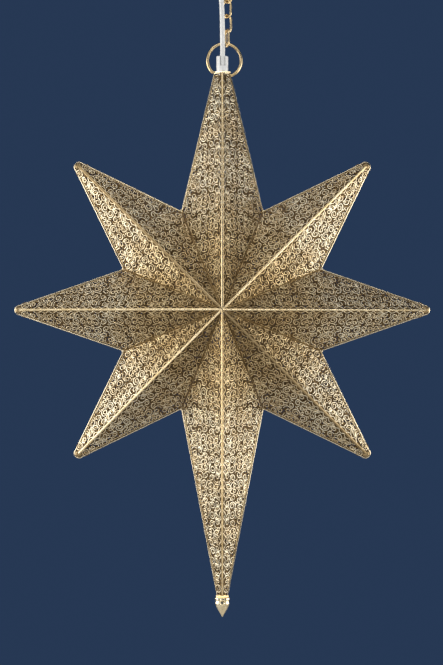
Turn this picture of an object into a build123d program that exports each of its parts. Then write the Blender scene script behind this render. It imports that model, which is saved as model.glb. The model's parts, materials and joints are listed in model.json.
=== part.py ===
from build123d import *
import os
from math import asin, cos, degrees, pi, radians, sin, sqrt, tan

# A pierced metal star lamp with eight front and eight rear points, hung from a ceiling canopy by a
# chain and an open ring. Millimetres. The origin is the centre of the ceiling face, +Z is up, and the
# star's front faces -Y.

# ---- star shell
point_reach = 292.0  # star centre to the sharp end of an equal point, before it is blunted
top_reach = 366.0
bottom_reach = 424.5
notch_radius = 144.0  # star centre to the notch between two points
half_depth = 75.0  # front apex to the middle plane
sheet = 0.8
strip_half = 2.3  # folded ridge strip, on each side of the ridge
wire_radius = 1.0  # edge wire
wire_inset = 1.4  # outline to the middle of the edge wire
seam_gap = 0.15  # edge wires and ridge strips stop this far from the next point
tip_blunt = 21.0  # sharp end back to where an equal point's sheets end
tip_length = 7.0
tip_round = 2.0
top_blunt = 56.5  # sharp end back to where the top point's sheets end
bottom_blunt = 43.5
sector = 22.5  # half the angle between two points

# ---- pierced pattern of a facet
hole_radius = 4.2
slot_length = 13.0
slot_width = 5.0
hole_pitch = 17.0
row_pitch = 16.5
facet_margin = 5.0

# ---- rear door and its hinge
door_gap = 0.6
hinge_inset = 2.6
hinge_height = 4.5  # middle plane to the hinge axis
barrel_radius = 1.6
hinge_pin_radius = 0.75
hinge_clearance = 0.3
bracket_length = 20.0
knuckle_length = 15.0
web_thickness = 1.2
knob_radius = 4.0
knob_height = 9.0
knob_along = 150.0  # apex to the knob, along the ridge
knob_aside = 33.0

# ---- hanging ring and cap
ring_radius = 22.4  # middle of its wire
ring_wire = 1.9
ring_arm = 13.5  # its axis to each arm, where the arms turn in
ring_lean = 9.0
pin_rise = 6.0  # end of the top point's sheets to the axis of the ring's ends
pin_radius = 1.3
pin_clearance = 0.3
pin_end = 7.0  # star axis to the end of each pin
cap_height = 9.0
cap_width = 10.6  # the cap's two side flats
spigot_height = 6.0
spigot_clearance = 1.0

# ---- cord, grip and tube
cord_radius = 3.2
grip_radius = 7.85
grip_height = 20.0
grip_socket = 6.0  # how far the tube goes up into the grip
grip_slack = 0.3  # the grip's open channel, on each side of the cord
grip_round = 0.8
cord_forward = 3.2  # the cord stands this far in front of the star's axis
cord_aside = 0.4
cord_foot = 15.0  # its straight run up out of the grip
cord_head = 20.0  # its straight run below the canopy
tube_radius = 5.0
tube_bore = 3.6
nut_flats = 14.0
nut_height = 3.0
lead_radius = 1.2
lead_gap = 1.5
grip_end_gap = 1.0  # the tube's top to the cord's end

# ---- lamp holder and bulb, heights above the star centre
socket_top = 156.0
socket_bottom = 88.0
socket_radius = 19.5
socket_cap_height = 10.0
socket_bore = 14.3
socket_roof = 6.0
shell_thickness = 0.5
shell_length = 40.0
contact_radius = 4.0
contact_height = 3.0
base_clearance = 0.5
base_length = 27.0
contact_gap = 0.3
bulb_radius = 30.0
bulb_neck = 13.0
neck_below = 2.0  # the straight neck goes this far below the lamp holder
bulb_length = 83.0  # from the base's lower end to the bottom
bulb_wall = 1.0

# ---- chain
link_length = 25.4
link_width = 15.0
link_wire = 1.4
link_gap = 0.3
link_turns = (90, 27, -36, 30, -70)  # each link's plane, turned from the picture's plane

# ---- canopy
canopy_radius = 62.0
canopy_height = 25.0
canopy_wall = 1.2
canopy_rim = 4.0
canopy_round = 3.0
collar_radius = 8.0
collar_height = 6.0
loop_radius = 9.4
loop_wire = 1.6
loop_neck = 4.0
stud_radius = 5.0
bar_length = 108.0
bar_width = 18.0
bar_thickness = 2.5
box_spacing = 88.9
box_slot_width = 4.8
box_slot_length = 12.0
bushing_radius = 6.0
bushing_lip = 2.0
bushing_height = 7.0
cord_hole_x = -13.0
cord_hole_y = -13.0
block_length = 30.0
block_aside = 9.0  # the block's middle, from the cord's hole
block_width = 16.0
block_height = 10.5
block_screw = 1.6
screw_depth = 2.0
screw_clearance = 0.2
screw_pitch = 9.0

# ---- finial
collar_disc_radius = 10.0
collar_disc_height = 5.0
finial_neck = 8.6
finial_belly = 9.5
finial_belly_drop = 4.5
finial_length = 22.0
finial_stud_radius = 2.0
finial_stud_up = 12.0
finial_stud_down = 8.0
plug_lip = 2.0

# ---- where things stand, with heights from the star centre
tip_cut = point_reach - tip_blunt
tip_end = tip_cut + tip_length
top_cut = top_reach - top_blunt
bottom_cut = bottom_reach - bottom_blunt
cap_top = top_cut + cap_height
pin_height = top_cut + pin_rise
spigot_inset = sheet + spigot_clearance
loop_middle = -(canopy_height + collar_height + loop_wire + loop_radius)
loop_bottom = loop_middle - loop_radius
link_axis = link_length - 2 * link_wire
first_link_top = loop_bottom + loop_wire + link_wire + link_gap
link_pitch = link_axis - 2 * link_wire - link_gap
last_link_bottom = first_link_top - (len(link_turns) - 1) * link_pitch - link_axis
ring_top = last_link_bottom + link_wire + ring_wire + link_gap
ring_drop = ring_radius + sqrt(ring_radius**2 - ring_arm**2)
pin_z = ring_top - ring_drop * cos(radians(ring_lean))
star_x = -ring_drop * sin(radians(ring_lean))
star_z = pin_z - pin_height

directions = {
    "right": 0,
    "upper_right": 45,
    "top": 90,
    "upper_left": 135,
    "left": 180,
    "lower_left": 225,
    "bottom": 270,
    "lower_right": 315,
}
reaches = {"top": (top_reach, top_cut), "bottom": (bottom_reach, bottom_cut)}
door_name = "left"
FRONT = -1
REAR = 1

os.makedirs("parts", exist_ok=True)


def keep(builder, name):
    """Label a finished piece and write it."""
    builder.part.label = name
    export_step(builder.part, f"parts/{name}.step")


def at(x, y, z):
    """A place given from the star's centre."""
    return Vector(star_x + x, y, star_z + z)


def level(z):
    """The horizontal plane at a height above the star's centre."""
    return Plane(origin=at(0, 0, z))


star_profile = Plane(origin=at(0, 0, 0), x_dir=(1, 0, 0), z_dir=(0, -1, 0))
star_axis = Axis(at(0, 0, 0), (0, 0, 1))


def along(angle):
    """The direction of a point's axis."""
    return Vector(cos(radians(angle)), 0, sin(radians(angle)))


def reach_of(name):
    return reaches.get(name, (point_reach, tip_cut))


def corners(angle, reach, side, face):
    """The apex, the sharp end and the notch of one facet."""
    apex = at(0, face * half_depth, 0)
    notch_angle = radians(angle + side * sector)
    notch = at(notch_radius * cos(notch_angle), 0, notch_radius * sin(notch_angle))
    end = at(0, 0, 0) + along(angle) * reach
    return apex, end, notch


def facet_plane(angle, reach, side, face):
    """The plane of a facet: x runs along the ridge from the apex, z outwards."""
    apex, end, notch = corners(angle, reach, side, face)
    ridge = (end - apex).normalized()
    outward = ridge.cross(notch - apex).normalized()
    if outward.Y * face < 0:
        outward = -outward
    return Plane(origin=apex, x_dir=ridge, z_dir=outward)


def facet_sizes(angle, reach, side, face):
    """The ridge's length, and the notch in the facet's plane."""
    apex, end, notch = corners(angle, reach, side, face)
    plane = facet_plane(angle, reach, side, face)
    local = plane.to_local_coords(notch)
    return (end - apex).length, local.X, local.Y


def sector_planes(angle, gap):
    """The two upright planes that pass through the notches beside a point."""
    planes = []
    for side in (-1, 1):
        valley = radians(angle + side * sector)
        inward = Vector(sin(valley), 0, -cos(valley)) * side
        planes.append(Plane(origin=at(0, 0, 0) + inward * gap, z_dir=inward))
    return planes


def end_plane(angle, cut):
    """The plane across a point where its sheets end."""
    return Plane(origin=at(0, 0, 0) + along(angle) * cut, z_dir=-along(angle))


def hole_places(ridge, notch_u, notch_v):
    """The middles of a facet's holes, in rows along the ridge."""
    hand = 1 if notch_v > 0 else -1
    tall = abs(notch_v)
    places = []
    row = 0
    v = strip_half + facet_margin + hole_radius
    while v < tall - hole_radius - facet_margin:
        clear = hole_radius + facet_margin
        first = (v + clear) * notch_u / tall + clear / 2
        last = ridge - (v + clear) * (ridge - notch_u) / tall - clear / 2
        last = min(last, ridge - (ridge / 10 if row == 0 else 0))
        count = int((last - first) / hole_pitch)
        for i in range(count + 1):
            shift = (last - first - count * hole_pitch) / 2
            places.append((first + shift + i * hole_pitch, hand * v, (row + i) % 2))
        v += row_pitch
        row += 1
    return places


def facet_outline(ridge, notch_u, notch_v):
    """The facet from its ridge strip to a little past its valley and its outline."""
    hand = 1 if notch_v > 0 else -1
    past = 3 * sheet
    return [
        (-past, hand * strip_half),
        (ridge + past, hand * strip_half),
        (notch_u, notch_v + hand * past),
        (-past * 2, hand * past),
    ]


def pierced_point(name, face, gap, edge):
    """The two pierced facets of a point, each a flat sheet of its own."""
    angle = directions[name]
    reach, cut = reach_of(name)
    with BuildPart() as point:
        for side in (-1, 1):
            ridge, notch_u, notch_v = facet_sizes(angle, reach, side, face)
            places = hole_places(ridge, notch_u, notch_v)
            with BuildSketch(facet_plane(angle, reach, side, face)):
                with BuildLine():
                    Polyline(facet_outline(ridge, notch_u, notch_v), close=True)
                make_face()
                with Locations([(u, v) for u, v, kind in places if kind == 0]):
                    Circle(hole_radius, mode=Mode.SUBTRACT)
                with Locations([(u, v) for u, v, kind in places if kind == 1]):
                    SlotOverall(slot_length, slot_width, mode=Mode.SUBTRACT)
            extrude(amount=-sheet)
        for plane in sector_planes(angle, gap):
            split(bisect_by=plane, keep=Keep.TOP)
        split(bisect_by=end_plane(angle, cut), keep=Keep.TOP)
        middle = Plane(origin=(0, face * edge, 0), z_dir=(0, face, 0))
        split(bisect_by=middle, keep=Keep.TOP)
    return point


def ridge_strip(name, face, gap):
    """The folded strip along one ridge."""
    angle = directions[name]
    reach, cut = reach_of(name)
    with BuildPart() as strip:
        for side in (-1, 1):
            ridge, notch_u, notch_v = facet_sizes(angle, reach, side, face)
            hand = 1 if notch_v > 0 else -1
            with BuildSketch(facet_plane(angle, reach, side, face)):
                with BuildLine():
                    Polyline(
                        (-sheet * 5, 0),
                        (ridge, 0),
                        (ridge, hand * strip_half),
                        (-sheet * 5, hand * strip_half),
                        close=True,
                    )
                make_face()
            extrude(amount=-sheet)
        for plane in sector_planes(angle, gap):
            split(bisect_by=plane, keep=Keep.TOP)
        split(bisect_by=end_plane(angle, cut), keep=Keep.TOP)
    return strip.part


def rhombus(reach, cut, inset):
    """The corners of a point's cross-section, square to its axis."""
    foot = notch_radius * cos(radians(sector))
    wide = notch_radius * sin(radians(sector)) * (reach - cut) / (reach - foot)
    deep = half_depth * (reach - cut) / reach
    slant = sqrt(wide**2 + deep**2)
    wide_in = wide - inset * slant / deep
    deep_in = deep - inset * slant / wide
    return [(wide_in, 0), (0, deep_in), (-wide_in, 0), (0, -deep_in)]


def across(angle, cut):
    """The plane square to a point's axis, with x across the outline."""
    side = Vector(-sin(radians(angle)), 0, cos(radians(angle)))
    return Plane(origin=at(0, 0, 0) + along(angle) * cut, x_dir=side, z_dir=along(angle))


def oval(width, length):
    """The middle line of a chain link, as long as its own middle line."""
    Line((-width, -length), (-width, length))
    Line((width, length), (width, -length))
    CenterArc((0, length), width, 0, 180)
    CenterArc((0, -length), width, 180, 180)


# ---- points of the shell
for name in directions:
    with_edge = pierced_point(name, FRONT, 0, wire_radius)
    keep(with_edge, f"front_point_{name}")

for name in directions:
    if name != door_name:
        rear = pierced_point(name, REAR, 0, wire_radius)
        keep(rear, f"rear_point_{name}")

door = pierced_point(door_name, REAR, door_gap, wire_radius + door_gap)
keep(door, "rear_door")

with BuildPart() as front_ridges:
    for name in directions:
        add(ridge_strip(name, FRONT, seam_gap))
keep(front_ridges, "front_ridges")

with BuildPart() as rear_ridges:
    for name in directions:
        if name != door_name:
            add(ridge_strip(name, REAR, seam_gap))
keep(rear_ridges, "rear_ridges")

with BuildPart() as door_ridge:
    add(ridge_strip(door_name, REAR, door_gap))
keep(door_ridge, "door_ridge")

# ---- edge wires, two on each point
with BuildPart() as edge_wires:
    for name, angle in directions.items():
        reach, cut = reach_of(name)
        for side in (-1, 1):
            apex, end, notch = corners(angle, reach, side, FRONT)
            edge = (end - notch).normalized()
            inward = Vector(edge.Z, 0, -edge.X)
            if inward.dot(at(0, 0, 0) - notch) < 0:
                inward = -inward
            start = notch + inward * wire_inset - edge * wire_inset * 2
            with BuildPart(mode=Mode.PRIVATE) as wire:
                with BuildSketch(Plane(origin=start, z_dir=edge)):
                    Circle(wire_radius)
                extrude(amount=(end - notch).length)
                for plane in sector_planes(angle, seam_gap):
                    split(bisect_by=plane, keep=Keep.TOP)
                split(bisect_by=end_plane(angle, cut), keep=Keep.TOP)
            add(wire.part)
keep(edge_wires, "edge_wires")

# ---- blunt tips of the six equal points
with BuildPart() as point_tips:
    for name, angle in directions.items():
        if name not in reaches:
            with BuildSketch(across(angle, tip_cut)):
                with BuildLine():
                    Polyline(rhombus(point_reach, tip_cut, 0), close=True)
                make_face()
            with BuildSketch(across(angle, tip_end)):
                with BuildLine():
                    Polyline(rhombus(point_reach, tip_end, 0), close=True)
                make_face()
            loft()
    outer = [e for e in point_tips.edges() if (e.center() - at(0, 0, 0)).length > tip_end - sheet]
    fillet(outer, tip_round)
keep(point_tips, "point_tips")

# ---- rear door's hinge, on the upper edge of its point
door_angle = directions[door_name]
upper = -1
apex, end, notch = corners(door_angle, point_reach, upper, REAR)
hinge_way = (end - notch).normalized()
hinge_inward = Vector(hinge_way.Z, 0, -hinge_way.X)
if hinge_inward.dot(at(0, 0, 0) - notch) < 0:
    hinge_inward = -hinge_inward
hinge_middle = (notch + end) * 0.5 + hinge_inward * hinge_inset + Vector(0, hinge_height, 0)
slope = facet_plane(door_angle, point_reach, upper, REAR)


def hinge_plane(shift):
    """The plane square to the hinge's axis, with x pointing to the star's centre."""
    return Plane(origin=hinge_middle + hinge_way * shift, x_dir=hinge_inward, z_dir=hinge_way)


with BuildPart() as hinge_bracket:
    with BuildSketch(hinge_plane(-bracket_length / 2)) as bracket_profile:
        Circle(barrel_radius)
        web_x = wire_inset - hinge_inset
        web_low = wire_radius - hinge_height
        up = 1 if hinge_plane(0).y_dir.Y > 0 else -1
        with BuildLine():
            Polyline(
                (web_x - web_thickness / 2, up * web_low),
                (web_x + web_thickness / 2, up * web_low),
                (web_x + web_thickness / 2, 0),
                (web_x - web_thickness / 2, 0),
                close=True,
            )
        make_face()
        Circle(hinge_pin_radius, mode=Mode.SUBTRACT)
    extrude(amount=bracket_length)
keep(hinge_bracket, "hinge_bracket")

pin_length = bracket_length + 2 * (knuckle_length + hinge_clearance)
with BuildPart() as hinge_pin:
    with BuildSketch(hinge_plane(-pin_length / 2)):
        Circle(hinge_pin_radius)
    extrude(amount=pin_length)
keep(hinge_pin, "hinge_pin")

facet_drop = -slope.to_local_coords(hinge_middle).Z
foot_x = slope.z_dir.dot(hinge_inward)
foot_y = slope.z_dir.dot(hinge_plane(0).y_dir)
foot_side = Vector(-foot_y, foot_x) * (web_thickness / 2)
with BuildPart() as door_knuckles:
    for shift in (-pin_length / 2, bracket_length / 2 + hinge_clearance):
        with BuildSketch(hinge_plane(shift)):
            Circle(barrel_radius)
            with BuildLine():
                Polyline(
                    (foot_side.X, foot_side.Y),
                    (foot_side.X + foot_x * facet_drop, foot_side.Y + foot_y * facet_drop),
                    (-foot_side.X + foot_x * facet_drop, -foot_side.Y + foot_y * facet_drop),
                    (-foot_side.X, -foot_side.Y),
                    close=True,
                )
            make_face()
            Circle(hinge_pin_radius + hinge_clearance, mode=Mode.SUBTRACT)
        extrude(amount=knuckle_length)
keep(door_knuckles, "door_knuckles")

lower_slope = facet_plane(door_angle, point_reach, -upper, REAR)
lower_hand = 1 if facet_sizes(door_angle, point_reach, -upper, REAR)[2] > 0 else -1
with BuildPart() as door_knob:
    with BuildSketch(lower_slope) as knob_foot:
        with Locations((knob_along, lower_hand * knob_aside)):
            Circle(knob_radius)
    extrude(amount=knob_height)
    fillet(door_knob.edges().filter_by(GeomType.CIRCLE).sort_by(Axis.Y)[-1], knob_radius / 3)
keep(door_knob, "door_knob")

# ---- top cap, with a hole at each side for the ring's ends
lean_axis = Vector(cos(radians(ring_lean)), 0, -sin(radians(ring_lean)))
pin_middle = at(0, 0, pin_height)
with BuildPart() as top_cap:
    with BuildSketch(across(90, top_cut)):
        with BuildLine():
            Polyline(rhombus(top_reach, top_cut, 0), close=True)
        make_face()
    with BuildSketch(across(90, cap_top)):
        with BuildLine():
            Polyline(rhombus(top_reach, cap_top, 0), close=True)
        make_face()
    loft()
    for hand in (-1, 1):
        flat = Plane(origin=at(hand * cap_width, 0, 0), z_dir=(-hand, 0, 0))
        split(bisect_by=flat, keep=Keep.TOP)
    with BuildSketch(across(90, top_cut)):
        with BuildLine():
            Polyline(rhombus(top_reach, top_cut, spigot_inset), close=True)
        make_face()
    extrude(amount=-spigot_height)
    with BuildSketch(level(top_cut - spigot_height)):
        Circle(tube_radius)
    extrude(amount=cap_top - top_cut + spigot_height, mode=Mode.SUBTRACT)
    for hand in (-1, 1):
        mouth = Plane(origin=pin_middle + lean_axis * hand * ring_arm, z_dir=lean_axis * -hand)
        with BuildSketch(mouth):
            Circle(pin_radius + pin_clearance)
        extrude(amount=ring_arm - pin_end + pin_clearance, mode=Mode.SUBTRACT)
keep(top_cap, "top_cap")

# ---- hanging ring: an open circle whose ends turn in towards each other
ring_up = Vector(sin(radians(ring_lean)), 0, cos(radians(ring_lean)))
ring_middle = pin_middle + ring_up * (ring_drop - ring_radius)
ring_plane = Plane(origin=ring_middle, x_dir=lean_axis, z_dir=lean_axis.cross(ring_up))
open_angle = degrees(asin(ring_arm / ring_radius))
with BuildPart() as hanging_ring:
    with BuildLine(ring_plane) as ring_line:
        CenterArc((0, 0), ring_radius, -90 + open_angle, 360 - 2 * open_angle)
    arc = ring_line.line
    with BuildSketch(Plane(origin=arc @ 0, z_dir=arc % 0)):
        Circle(ring_wire)
    sweep(path=arc)
    for hand in (-1, 1):
        corner = pin_middle + lean_axis * hand * ring_arm
        with Locations(corner):
            Sphere(ring_wire)
        with BuildSketch(Plane(origin=corner, z_dir=lean_axis * -hand)):
            Circle(pin_radius)
        extrude(amount=ring_arm - pin_end)
keep(hanging_ring, "hanging_ring")

# ---- chain links
for number, turn in enumerate(link_turns):
    middle_z = first_link_top - link_axis / 2 - number * link_pitch
    way = Vector(cos(radians(turn)), sin(radians(turn)), 0)
    link_plane = Plane(origin=(0, 0, middle_z), x_dir=way, z_dir=way.cross(Vector(0, 0, 1)))
    half_width = link_width / 2 - link_wire
    with BuildPart() as chain_link:
        with BuildLine(link_plane) as link_line:
            oval(half_width, link_axis / 2 - half_width)
        with BuildSketch(Plane(origin=link_plane.from_local_coords((half_width, 0)), z_dir=(0, 0, 1))):
            Circle(link_wire)
        sweep(path=link_line.wires()[0])
    keep(chain_link, f"chain_link_{number + 1}")

# ---- canopy, its strap, stud, collar and loop
with BuildPart() as crossbar:
    with BuildSketch(Plane.XY.offset(-bar_thickness)):
        SlotOverall(bar_length, bar_width)
        Circle(stud_radius, mode=Mode.SUBTRACT)
        with Locations((-box_spacing / 2, 0), (box_spacing / 2, 0)):
            SlotOverall(box_slot_length, box_slot_width, mode=Mode.SUBTRACT)
    extrude(amount=bar_thickness)
keep(crossbar, "crossbar")

stud_length = canopy_height + collar_height
with BuildPart() as ceiling_stud:
    with BuildSketch(Plane.XY.offset(-stud_length)):
        Circle(stud_radius)
    extrude(amount=stud_length)
keep(ceiling_stud, "ceiling_stud")


def hex_nut(plane):
    """A flat hexagon nut below a plane."""
    with BuildPart() as nut:
        with BuildSketch(plane):
            RegularPolygon(nut_flats / 2, 6, major_radius=False)
            Circle(tube_radius, mode=Mode.SUBTRACT)
        extrude(amount=-nut_height)
    return nut.part


with BuildPart() as stud_nut:
    add(hex_nut(Plane.XY.offset(-bar_thickness)))
keep(stud_nut, "stud_nut")

with BuildPart() as canopy:
    with BuildSketch(Plane.XZ) as canopy_profile:
        with BuildLine():
            Polyline(
                (stud_radius, -canopy_height),
                (collar_radius + 4, -canopy_height),
                (canopy_radius - canopy_rim * 3, -canopy_height + canopy_rim),
                (canopy_radius - canopy_rim, -canopy_rim * 2),
                (canopy_radius, 0),
                (canopy_radius - canopy_wall, 0),
                (canopy_radius - canopy_rim - canopy_wall, -canopy_rim * 2 + canopy_wall),
                (canopy_radius - canopy_rim * 3, -canopy_height + canopy_rim + canopy_wall),
                (collar_radius + 4, -canopy_height + canopy_wall),
                (stud_radius, -canopy_height + canopy_wall),
                close=True,
            )
        make_face()
        shoulders = [v for v in canopy_profile.vertices() if collar_radius < v.X < canopy_radius - canopy_wall * 2]
        fillet(shoulders, canopy_round)
    revolve(axis=Axis.Z)
    with BuildSketch(Plane.XY.offset(-canopy_height - 1)):
        with Locations((cord_hole_x, cord_hole_y)):
            Circle(bushing_radius - bushing_lip)
    extrude(amount=canopy_height, mode=Mode.SUBTRACT)
keep(canopy, "canopy")

with BuildPart() as canopy_collar:
    with BuildSketch(Plane.XY.offset(-canopy_height - collar_height)):
        Circle(collar_radius)
        Circle(stud_radius, mode=Mode.SUBTRACT)
    extrude(amount=collar_height)
    rim = canopy_collar.edges().filter_by(GeomType.CIRCLE).group_by(Axis.Z)[0].sort_by(SortBy.RADIUS)[-1]
    fillet(rim, collar_height / 3)
keep(canopy_collar, "canopy_collar")

with BuildPart() as canopy_loop:
    with BuildSketch(Plane(origin=(loop_radius, 0, loop_middle), z_dir=(0, 0, 1))):
        Circle(loop_wire)
    revolve(axis=Axis((0, 0, loop_middle), (0, 1, 0)))
    with BuildSketch(Plane.XY.offset(-canopy_height - collar_height)):
        Circle(loop_neck)
    extrude(amount=-2 * loop_wire)
keep(canopy_loop, "canopy_loop")

# ---- cord
grip_bottom = star_z + cap_top
tube_top = grip_bottom + grip_socket
cord_start = tube_top + grip_end_gap
block_bottom = -bar_thickness - block_height
cord_x = star_x + cord_aside
cord_y = -cord_forward
cord_top = -canopy_height - cord_head
cord_rise = cord_top - cord_start
cord_route = [
    Vector(cord_x, cord_y, cord_start),
    Vector(cord_x, cord_y, cord_start + cord_foot),
    Vector(cord_x, cord_y - 6.6, cord_start + 0.304 * cord_rise),
    Vector(cord_x - 1, cord_y - 5.8, cord_start + 0.685 * cord_rise),
    Vector(cord_hole_x, cord_hole_y, cord_top),
    Vector(cord_hole_x, cord_hole_y, block_bottom),
]


def arc_radii(route):
    """The bend at each inner point: as large as its two runs allow."""
    radii = []
    for before, here, after in zip(route, route[1:], route[2:]):
        turn = radians((here - before).get_angle(after - here))
        shorter = min((here - before).length, (after - here).length)
        radii.append(0.45 * shorter / tan(turn / 2))
    return radii


bends = arc_radii(cord_route)
with BuildPart() as supply_cord:
    with BuildLine() as cord_line:
        FilletPolyline(cord_route, radius=bends)
    cord_path = cord_line.wires()[0]
    with BuildSketch(Plane(origin=cord_route[0], z_dir=cord_route[1] - cord_route[0])):
        Circle(cord_radius)
    sweep(path=cord_path)
keep(supply_cord, "supply_cord")
print("cord radii", [round(r, 1) for r in bends], "length", round(cord_path.length, 1))
print("cord volume", round(supply_cord.part.volume, 1), "section x length", end=" ")
print(round(pi * cord_radius**2 * cord_path.length, 1))

with BuildPart() as cord_bushing:
    with BuildSketch(Plane(origin=(cord_hole_x, cord_hole_y, -canopy_height - bushing_lip))):
        Circle(bushing_radius)
        Circle(cord_radius, mode=Mode.SUBTRACT)
    extrude(amount=bushing_lip)
    with BuildSketch(Plane(origin=(cord_hole_x, cord_hole_y, -canopy_height))):
        Circle(bushing_radius - bushing_lip)
        Circle(cord_radius, mode=Mode.SUBTRACT)
    extrude(amount=bushing_height)
keep(cord_bushing, "cord_bushing")

block_x = cord_hole_x - block_aside
block_face = Plane(
    origin=(block_x, cord_hole_y - block_width / 2, block_bottom + block_height / 2),
    x_dir=(1, 0, 0),
    z_dir=(0, -1, 0),
)
with BuildPart() as terminal_block:
    with BuildSketch(Plane(origin=(block_x, cord_hole_y, block_bottom))):
        Rectangle(block_length, block_width)
    extrude(amount=block_height)
    with BuildSketch(block_face):
        with GridLocations(screw_pitch, 1, 3, 1):
            Circle(block_screw + screw_clearance)
    extrude(amount=-screw_depth, mode=Mode.SUBTRACT)
keep(terminal_block, "terminal_block")

with BuildPart() as terminal_screws:
    with BuildSketch(block_face.offset(-screw_depth)):
        with GridLocations(screw_pitch, 1, 3, 1):
            Circle(block_screw)
    extrude(amount=screw_depth)
keep(terminal_screws, "terminal_screws")

# ---- cord grip on the tube's top end
with BuildPart() as cord_grip:
    with BuildSketch(level(cap_top)):
        Circle(grip_radius)
    extrude(amount=grip_height)
    fillet(cord_grip.edges().filter_by(GeomType.CIRCLE).group_by(Axis.Z)[-1], grip_round)
    with BuildSketch(level(cap_top)):
        Circle(tube_radius)
    extrude(amount=grip_socket + grip_end_gap, mode=Mode.SUBTRACT)
    with BuildSketch(Plane(origin=cord_route[0])):
        Circle(cord_radius)
        with Locations((0, -grip_radius / 2)):
            Rectangle(2 * (cord_radius + grip_slack), grip_radius)
    extrude(amount=grip_height, mode=Mode.SUBTRACT)
keep(cord_grip, "cord_grip")

with BuildPart() as lamp_tube:
    with BuildSketch(level(socket_top)):
        Circle(tube_radius)
        Circle(tube_bore, mode=Mode.SUBTRACT)
    extrude(amount=cap_top + grip_socket - socket_top)
keep(lamp_tube, "lamp_tube")

with BuildPart() as tube_nuts:
    add(hex_nut(level(top_cut - spigot_height)))
    add(hex_nut(level(socket_top + nut_height)))
keep(tube_nuts, "tube_nuts")

with BuildPart() as lamp_leads:
    with BuildSketch(level(socket_top)):
        with Locations((-lead_gap, 0), (lead_gap, 0)):
            Circle(lead_radius)
    extrude(amount=cap_top + grip_socket + grip_end_gap - socket_top)
keep(lamp_leads, "lamp_leads")

# ---- lamp holder and bulb
with BuildPart() as socket_cap:
    with BuildSketch(level(socket_top - socket_cap_height)):
        Circle(socket_radius)
    extrude(amount=socket_cap_height)
    fillet(socket_cap.edges().filter_by(GeomType.CIRCLE).group_by(Axis.Z)[-1], socket_cap_height / 2)
keep(socket_cap, "socket_cap")

roof_z = socket_top - socket_cap_height - socket_roof
with BuildPart() as socket_body:
    with BuildSketch(level(socket_bottom)):
        Circle(socket_radius)
    extrude(amount=socket_top - socket_cap_height - socket_bottom)
    with BuildSketch(level(socket_bottom)):
        Circle(socket_bore)
    extrude(amount=roof_z - socket_bottom, mode=Mode.SUBTRACT)
keep(socket_body, "socket_body")

with BuildPart() as screw_shell:
    with BuildSketch(level(roof_z - shell_length)):
        Circle(socket_bore)
        Circle(socket_bore - shell_thickness, mode=Mode.SUBTRACT)
    extrude(amount=shell_length)
keep(screw_shell, "screw_shell")

with BuildPart() as centre_contact:
    with BuildSketch(level(roof_z - contact_height)):
        Circle(contact_radius)
    extrude(amount=contact_height)
keep(centre_contact, "centre_contact")

base_radius = socket_bore - shell_thickness - base_clearance
base_top = roof_z - contact_height - contact_gap
base_bottom = base_top - base_length
with BuildPart() as bulb_base:
    with BuildSketch(level(base_bottom)):
        Circle(base_radius)
    extrude(amount=base_length)
    fillet(bulb_base.edges().filter_by(GeomType.CIRCLE).group_by(Axis.Z)[-1], base_radius / 3)
keep(bulb_base, "bulb_base")

bulb_middle = base_bottom - bulb_length + bulb_radius
neck_bottom = socket_bottom - neck_below
with BuildPart() as bulb_glass:
    with BuildSketch(star_profile):
        with BuildLine():
            Bezier(
                (bulb_radius, bulb_middle),
                (bulb_radius, (bulb_middle + neck_bottom) / 2),
                (bulb_neck, (bulb_middle + neck_bottom) / 2),
                (bulb_neck, neck_bottom),
            )
            Polyline(
                (bulb_neck, neck_bottom),
                (bulb_neck, base_bottom),
                (bulb_neck - bulb_wall, base_bottom),
                (bulb_neck - bulb_wall, neck_bottom),
            )
            Bezier(
                (bulb_neck - bulb_wall, neck_bottom),
                (bulb_neck - bulb_wall, (bulb_middle + neck_bottom) / 2),
                (bulb_radius - bulb_wall, (bulb_middle + neck_bottom) / 2),
                (bulb_radius - bulb_wall, bulb_middle),
            )
            CenterArc((0, bulb_middle), bulb_radius - bulb_wall, 0, -90)
            Line((0, bulb_middle - bulb_radius + bulb_wall), (0, bulb_middle - bulb_radius))
            CenterArc((0, bulb_middle), bulb_radius, -90, 90)
        make_face()
    revolve(axis=star_axis)
keep(bulb_glass, "bulb_glass")

# ---- bottom plug and finial
with BuildPart() as bottom_plug:
    with BuildSketch(across(270, bottom_cut)):
        with BuildLine():
            Polyline(rhombus(bottom_reach, bottom_cut, 0), close=True)
        make_face()
    extrude(amount=plug_lip)
    with BuildSketch(across(270, bottom_cut)):
        with BuildLine():
            Polyline(rhombus(bottom_reach, bottom_cut, spigot_inset), close=True)
        make_face()
    extrude(amount=-spigot_height)
    with BuildSketch(across(270, bottom_cut - spigot_height)):
        Circle(finial_stud_radius)
    extrude(amount=spigot_height + plug_lip, mode=Mode.SUBTRACT)
keep(bottom_plug, "bottom_plug")

collar_z = -(bottom_cut + plug_lip)
with BuildPart() as finial_collar:
    with BuildSketch(level(collar_z)):
        Circle(collar_disc_radius)
        Circle(finial_stud_radius, mode=Mode.SUBTRACT)
    extrude(amount=-collar_disc_height)
    outer_rim = finial_collar.edges().filter_by(GeomType.CIRCLE).group_by(SortBy.RADIUS)[-1]
    fillet(outer_rim, collar_disc_height / 3)
keep(finial_collar, "finial_collar")

finial_z = collar_z - collar_disc_height
with BuildPart() as finial:
    with BuildSketch(star_profile):
        with BuildLine():
            Line((0, finial_z), (finial_neck, finial_z))
            Line((0, finial_z - finial_length), (0, finial_z))
            belly = Spline(
                (finial_neck, finial_z),
                (finial_belly, finial_z - finial_belly_drop),
                (finial_belly * 0.8, finial_z - finial_belly_drop * 2),
                tangents=((0.4, -1), (-0.45, -1)),
            )
            Line(belly @ 1, (0, finial_z - finial_length))
        make_face()
    revolve(axis=star_axis)
    with BuildSketch(level(finial_z)):
        Circle(finial_stud_radius)
    extrude(amount=-finial_stud_down, mode=Mode.SUBTRACT)
keep(finial, "finial")

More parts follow.
